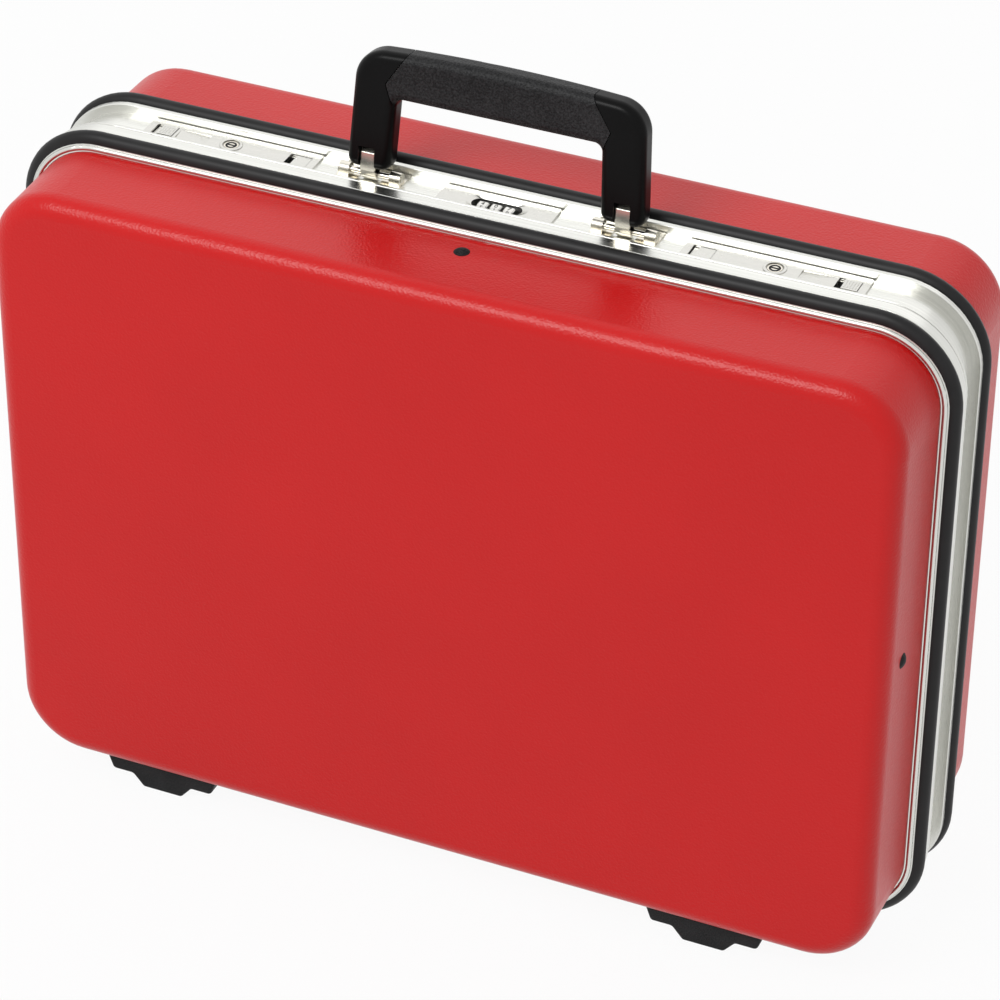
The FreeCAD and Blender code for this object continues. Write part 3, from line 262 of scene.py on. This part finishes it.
def lock_steel():
    """Satin steel of the lock plates and slides."""
    dark = tone(0.53, 0.525, 0.495)
    light = tone(0.65, 0.64, 0.605)
    return plated_steel("lock_steel", dark, light, roughness=0.20, drawn=DRAWN_ALONG_X)


def bright_steel():
    """Bright, slightly warm steel of the straps, mounts and barrels."""
    dark = tone(0.58, 0.55, 0.48)
    light = tone(0.78, 0.75, 0.67)
    return plated_steel("bright_steel", dark, light, roughness=0.14, drawn=DRAWN_ALONG_Y)


def inner_steel():
    """Plain dull steel of the pieces inside."""
    dark = tone(0.48, 0.48, 0.47)
    light = tone(0.66, 0.66, 0.65)
    return plated_steel("inner_steel", dark, light, roughness=0.34, drawn=DRAWN_ALONG_X)


def wheel_metal():
    """Light satin metal of the number wheels."""
    dark = tone(0.62, 0.61, 0.58)
    light = tone(0.78, 0.77, 0.74)
    return plated_steel("wheel_metal", dark, light, roughness=0.24, drawn=DRAWN_ALONG_Y)


# Black plastics

RUB_SCALE = 45
RUB_SHARE = 0.3
FLECK_SHARE = 0.7
FLECK_RANGE = (0.38, 0.68)
BLACK_LOW = tone(0.4, 0.4, 0.43)
BLACK_HIGH = tone(2.4, 2.4, 2.5)
BLACK_ROUGHNESS_SPREAD = 0.10
BLACK_GRAIN_STRENGTH = 0.6


def dimmed(level, colour):
    """Return a colour at a level of brightness."""
    return tone(level * colour[0], level * colour[1], level * colour[2])


def black_plastic(name, grain_scale, grain_depth, roughness, level, shine):
    """Black moulded plastic with a grain of a given scale."""
    finish = Finish(name, Specular_IOR_Level=shine)
    here = finish.place()
    grain = finish.cells(here, grain_scale)
    rub = finish.noise(here, RUB_SCALE, FINEST_DETAIL)
    fleck = finish.noise(here, grain_scale)
    shade = rub * RUB_SHARE + fleck * FLECK_SHARE
    dark = dimmed(level, BLACK_LOW)
    light = dimmed(level, BLACK_HIGH)
    finish.set(
        Base_Color=finish.mix(shade.between(*FLECK_RANGE), dark, light),
        Roughness=roughness + BLACK_ROUGHNESS_SPREAD * rub,
        Normal=finish.relief(grain, grain_depth, BLACK_GRAIN_STRENGTH),
    )
    return finish.material


def grip_plastic():
    """Grained matt plastic of the grip."""
    return black_plastic(
        "grip_plastic", grain_scale=1000, grain_depth=0.00040, roughness=0.40, level=0.0120, shine=0.16)


def arm_plastic():
    """Smooth half-gloss plastic of the handle's arms."""
    return black_plastic(
        "arm_plastic", grain_scale=2600, grain_depth=0.00002, roughness=0.25, level=0.0013, shine=0.11)


def foot_plastic():
    """Matt plastic of the feet and rivets."""
    return black_plastic(
        "foot_plastic", grain_scale=1500, grain_depth=0.00006, roughness=0.46, level=0.0130, shine=0.12)


finishes = {
    "shell_red": moulded_red(),
    "frame_aluminium": brushed_aluminium(),
    "cord_rubber": cord_rubber(),
    "lock_steel": lock_steel(),
    "bright_steel": bright_steel(),
    "inner_steel": inner_steel(),
    "wheel_metal": wheel_metal(),
    "grip_plastic": grip_plastic(),
    "arm_plastic": arm_plastic(),
    "foot_plastic": foot_plastic(),
}

for entry in frame["record"]["subparts"]:
    mesh = nodes[entry["node"]].data
    mesh.materials.clear()
    mesh.materials.append(finishes[entry["material_slot"]])


# Small pieces of the locks

SHOWN_NUMBERS = {"left": 4, "middle": 0, "right": 7}
WHEEL_FACES = 10
DIGIT_SIZE = 0.0036
DIGIT_RELIEF = 0.00006
LOCK_PLACE = 0.14147
PAD_PLACE = 0.0363
PAD_REST = 0.0015
PAD_MIDDLES = {"left": PAD_REST - LOCK_PLACE - PAD_PLACE, "right": PAD_REST + LOCK_PLACE + PAD_PLACE}
DOT_RADIUS = 0.00042
DOT_SEGMENTS = 12
DOT_RINGS = 8
DOT_RISE_SHARE = 0.6
DOT_PITCH = 0.0014
DOT_ROWS = 5
FACE_RADIUS = 0.0029
FACE_SIDES = 48
FACE_RING_WIDTH = 0.0011
FACE_THICKNESS = 0.00012
KEYWAY_LENGTH = 0.0034
KEYWAY_WIDTH = 0.0011
KEYWAY_BEVEL = FACE_THICKNESS / 3
KEYWAY_BEVEL_STEPS = 2


def select_only(thing):
    """Make one object the only selected and the active one."""
    bpy.ops.object.select_all(action="DESELECT")
    thing.select_set(True)
    bpy.context.view_layer.objects.active = thing


def settle(thing):
    """Bring an object's place into its mesh, so that it stands at the origin."""
    select_only(thing)
    bpy.ops.object.transform_apply(location=True, rotation=True, scale=True)


def joined(things):
    """Join objects into the first one."""
    select_only(things[0])
    for thing in things:
        thing.select_set(True)
    bpy.ops.object.join()
    return bpy.context.object


def one_digit(number, turn, middle, reach):
    """Lay a plain number on a face of a wheel."""
    bpy.ops.object.select_all(action="DESELECT")
    bpy.ops.object.text_add()
    words = bpy.context.object.data
    words.body = str(number)
    words.align_x = "CENTER"
    words.align_y = "CENTER"
    words.size = DIGIT_SIZE
    words.extrude = DIGIT_RELIEF
    bpy.ops.object.convert(target="MESH")
    digit = bpy.context.object
    out = Vector((0.0, math.sin(turn), math.cos(turn)))
    up = Vector((0.0, math.cos(turn), -math.sin(turn)))
    facing = Matrix((Vector((1.0, 0.0, 0.0)), up, out)).transposed().to_4x4()
    digit.matrix_world = Matrix.Translation(middle + out * reach) @ facing
    settle(digit)
    return digit


def wheel_digits(word, shown):
    """Number the faces of a wheel, with one number on top."""
    low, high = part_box("number_wheel_" + word)
    middle = (Vector(low) + Vector(high)) / 2
    reach = (high[2] - low[2]) / 2
    digits = []
    for number in range(WHEEL_FACES):
        turn = math.tau * (shown - number) / WHEEL_FACES
        digits.append(one_digit(number, turn, middle, reach))
    numbers = joined(digits)
    numbers.name = "digits_" + word
    numbers.data.materials.append(finishes["foot_plastic"])
    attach(numbers, word + "_wheel")


def thumb_dots(word, pad_x):
    """Raise a field of small domes on a slide's thumb pad."""
    low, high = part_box(word + "_lock_slide")
    span = DOT_PITCH * (DOT_ROWS - 1)
    corner = (pad_x - span / 2, (low[1] + high[1]) / 2 - span / 2, high[2])
    bpy.ops.object.select_all(action="DESELECT")
    bpy.ops.mesh.primitive_uv_sphere_add(
        segments=DOT_SEGMENTS, ring_count=DOT_RINGS, radius=DOT_RADIUS, location=corner)
    dots = bpy.context.object
    dots.name = "thumb_dots_" + word
    bpy.ops.object.mode_set(mode="EDIT")
    bpy.ops.mesh.select_all(action="SELECT")
    bpy.ops.mesh.bisect(plane_co=corner, plane_no=(0.0, 0.0, 1.0), use_fill=True, clear_inner=True)
    bpy.ops.mesh.select_all(action="SELECT")
    bpy.ops.transform.resize(value=(1.0, 1.0, DOT_RISE_SHARE), center_override=corner)
    bpy.ops.object.mode_set(mode="OBJECT")
    for axis in (0, 1):
        rows = dots.modifiers.new("rows", "ARRAY")
        rows.count = DOT_ROWS
        rows.use_relative_offset = False
        rows.use_constant_offset = True
        step = Vector((0.0, 0.0, 0.0))
        step[axis] = DOT_PITCH
        rows.constant_offset_displace = step
        bpy.ops.object.modifier_apply(modifier=rows.name)
    settle(dots)
    bpy.ops.object.shade_smooth()
    dots.data.materials.append(finishes["lock_steel"])
    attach(dots, word + "_slide")


def dark_ring(middle):
    """Lay a thin flat dark ring on the face of a key barrel, as painted shade in place of a shaded ring gap.
    """
    bpy.ops.object.select_all(action="DESELECT")
    bpy.ops.mesh.primitive_circle_add(
        vertices=FACE_SIDES, radius=FACE_RADIUS, fill_type="NGON", location=middle)
    ring = bpy.context.object
    bpy.ops.object.mode_set(mode="EDIT")
    bpy.ops.mesh.select_all(action="SELECT")
    bpy.ops.mesh.inset(thickness=FACE_RING_WIDTH)
    bpy.ops.mesh.delete(type="FACE")
    bpy.ops.object.mode_set(mode="OBJECT")
    wall = ring.modifiers.new("wall", "SOLIDIFY")
    wall.thickness = FACE_THICKNESS
    wall.offset = 0.0
    bpy.ops.object.modifier_apply(modifier=wall.name)
    settle(ring)
    return ring


def dark_keyway(middle):
    """Lay a thin dark bar with softened edges on the face of a key barrel, where the key goes in, as painted
    shade in place of the shaded keyway.
    """
    bpy.ops.object.select_all(action="DESELECT")
    bpy.ops.mesh.primitive_cube_add(size=1.0, location=middle)
    keyway = bpy.context.object
    keyway.scale = (KEYWAY_LENGTH, KEYWAY_WIDTH, FACE_THICKNESS)
    settle(keyway)
    corners = keyway.modifiers.new("corners", "BEVEL")
    corners.width = KEYWAY_BEVEL
    corners.segments = KEYWAY_BEVEL_STEPS
    bpy.ops.object.modifier_apply(modifier=corners.name)
    return keyway


def barrel_face(word):
    """Darken the face of a key barrel round its keyway with painted shade: a dark ring and a dark keyway
    bar.
    """
    low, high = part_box(word + "_key_cylinder")
    middle = ((low[0] + high[0]) / 2, (low[1] + high[1]) / 2, high[2])
    face = joined([dark_ring(middle), dark_keyway(middle)])
    face.name = "barrel_face_" + word
    face.data.materials.append(finishes["foot_plastic"])
    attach(face, word + "_key")


for wheel_word, shown_number in SHOWN_NUMBERS.items():
    wheel_digits(wheel_word, shown_number)
for pad_word, pad_middle in PAD_MIDDLES.items():
    thumb_dots(pad_word, pad_middle)
# The key barrel faces get painted shade, a dark ring and a dark keyway bar in black plastic.
for barrel_word in ("left", "right"):
    barrel_face(barrel_word)


# Stage, light and camera

CAMERA_TARGET = Vector((0.01543, -0.02558, 0.2077))
CAMERA_AZIMUTH = math.radians(23.23)
CAMERA_ELEVATION = math.radians(34.27)
CAMERA_ROLL = math.radians(0.54)
CAMERA_DISTANCE = 2.0338
CAMERA_LENS = 149.15
CAMERA_NEAR = 0.01
CAMERA_FAR = 100.0
SENSOR_WIDTH = 36.0
WORLD_PLAIN = 0.72
WORLD_SEEN = 1.0
FLOOR_SIZE = 12.0
FLOOR_TONE = tone(0.72, 0.72, 0.72)
FLOOR_ROUGHNESS = 0.9
FLOOR_CLEAR_SHARE = 0.94
BACK_BOX_PLACE = (-0.50, 1.40, 1.90)
BACK_BOX_TARGET = (0.0, 0.0, 0.35)
BACK_BOX_SIZE = (3.4, 2.4)
BACK_BOX_POWER = 9.5
FRONT_BOX_PLACE = (-0.6, -1.6, 1.9)
FRONT_BOX_TARGET = (0.0, 0.0, 0.2)
FRONT_BOX_SIZE = (1.2, 0.8)
FRONT_BOX_POWER = 25.5


def make_camera():
    """Stand the camera where the photograph was taken from."""
    across = math.cos(CAMERA_ELEVATION)
    back = Vector((
        math.sin(CAMERA_AZIMUTH) * across,
        -math.cos(CAMERA_AZIMUTH) * across,
        math.sin(CAMERA_ELEVATION),
    ))
    right = Vector((math.cos(CAMERA_AZIMUTH), math.sin(CAMERA_AZIMUTH), 0.0))
    up = back.cross(right)
    rolled_right = right * math.cos(CAMERA_ROLL) + up * math.sin(CAMERA_ROLL)
    rolled_up = up * math.cos(CAMERA_ROLL) - right * math.sin(CAMERA_ROLL)
    data = bpy.data.cameras.new("camera")
    data.lens = CAMERA_LENS
    data.sensor_width = SENSOR_WIDTH
    data.clip_start = CAMERA_NEAR
    data.clip_end = CAMERA_FAR
    camera = bpy.data.objects.new("camera", data)
    bpy.context.scene.collection.objects.link(camera)
    turn = Matrix((rolled_right, rolled_up, back)).transposed().to_4x4()
    camera.matrix_world = Matrix.Translation(CAMERA_TARGET + back * CAMERA_DISTANCE) @ turn
    bpy.context.scene.camera = camera


def soft_box(name, place, target, size, power):
    """Hang a soft studio lamp at a place, facing a target."""
    data = bpy.data.lights.new(name, "AREA")
    data.shape = "RECTANGLE"
    data.size, data.size_y = size
    data.energy = power
    lamp = bpy.data.objects.new(name, data)
    bpy.context.scene.collection.objects.link(lamp)
    lamp.location = place
    lamp.rotation_euler = (Vector(target) - Vector(place)).to_track_quat("-Z", "Y").to_euler()


def larger_of(tree, first, second):
    """Return the larger of two sockets' values."""
    larger = tree.nodes.new("ShaderNodeMath")
    larger.operation = "MAXIMUM"
    tree.links.new(first, larger.inputs[0])
    tree.links.new(second, larger.inputs[1])
    return larger.outputs[0]


def where_seen(tree, plain, seen):
    """Return one value where the camera or a reflection looks, and a plain one elsewhere."""
    path = tree.nodes.new("ShaderNodeLightPath").outputs
    direct = larger_of(tree, path["Is Camera Ray"], path["Is Glossy Ray"])
    looked = larger_of(tree, direct, path["Is Transmission Ray"])
    spread = tree.nodes.new("ShaderNodeMapRange")
    tree.links.new(looked, spread.inputs["Value"])
    spread.inputs["To Min"].default_value = plain
    spread.inputs["To Max"].default_value = seen
    return spread.outputs[0]


def make_world():
    """Surround the case with plain white light."""
    world = bpy.data.worlds.new("studio")
    bpy.context.scene.world = world
    world.use_nodes = True
    tree = world.node_tree
    background = tree.nodes["Background"]
    background.inputs["Color"].default_value = tone(1.0, 1.0, 1.0)
    tree.links.new(where_seen(tree, WORLD_PLAIN, WORLD_SEEN), background.inputs["Strength"])


def make_floor():
    """Lay a pale floor that takes a soft shadow.

    It is nearly clear to the eye, and clear from below, so that the lid shows and is lit where it
    hangs lower than the feet.
    """
    bpy.ops.object.select_all(action="DESELECT")
    bpy.ops.mesh.primitive_plane_add(size=FLOOR_SIZE, location=(0.0, 0.0, 0.0))
    floor = bpy.context.object
    floor.name = "floor"
    material = bpy.data.materials.new("floor_white")
    material.use_nodes = True
    tree = material.node_tree
    shader = tree.nodes["Principled BSDF"]
    shader.inputs["Base Color"].default_value = FLOOR_TONE
    shader.inputs["Roughness"].default_value = FLOOR_ROUGHNESS
    shader.inputs["Specular IOR Level"].default_value = 0.0
    clear = tree.nodes.new("ShaderNodeBsdfTransparent")
    mixer = tree.nodes.new("ShaderNodeMixShader")
    below = tree.nodes.new("ShaderNodeNewGeometry").outputs["Backfacing"]
    clearness = larger_of(tree, where_seen(tree, 0.0, FLOOR_CLEAR_SHARE), below)
    tree.links.new(clearness, mixer.inputs[0])
    tree.links.new(shader.outputs[0], mixer.inputs[1])
    tree.links.new(clear.outputs[0], mixer.inputs[2])
    tree.links.new(mixer.outputs[0], tree.nodes["Material Output"].inputs["Surface"])
    floor.data.materials.append(material)


make_camera()
make_world()
make_floor()
soft_box("back_box", BACK_BOX_PLACE, BACK_BOX_TARGET, BACK_BOX_SIZE, BACK_BOX_POWER)
soft_box("front_box", FRONT_BOX_PLACE, FRONT_BOX_TARGET, FRONT_BOX_SIZE, FRONT_BOX_POWER)
bpy.context.scene.view_settings.view_transform = "Standard"
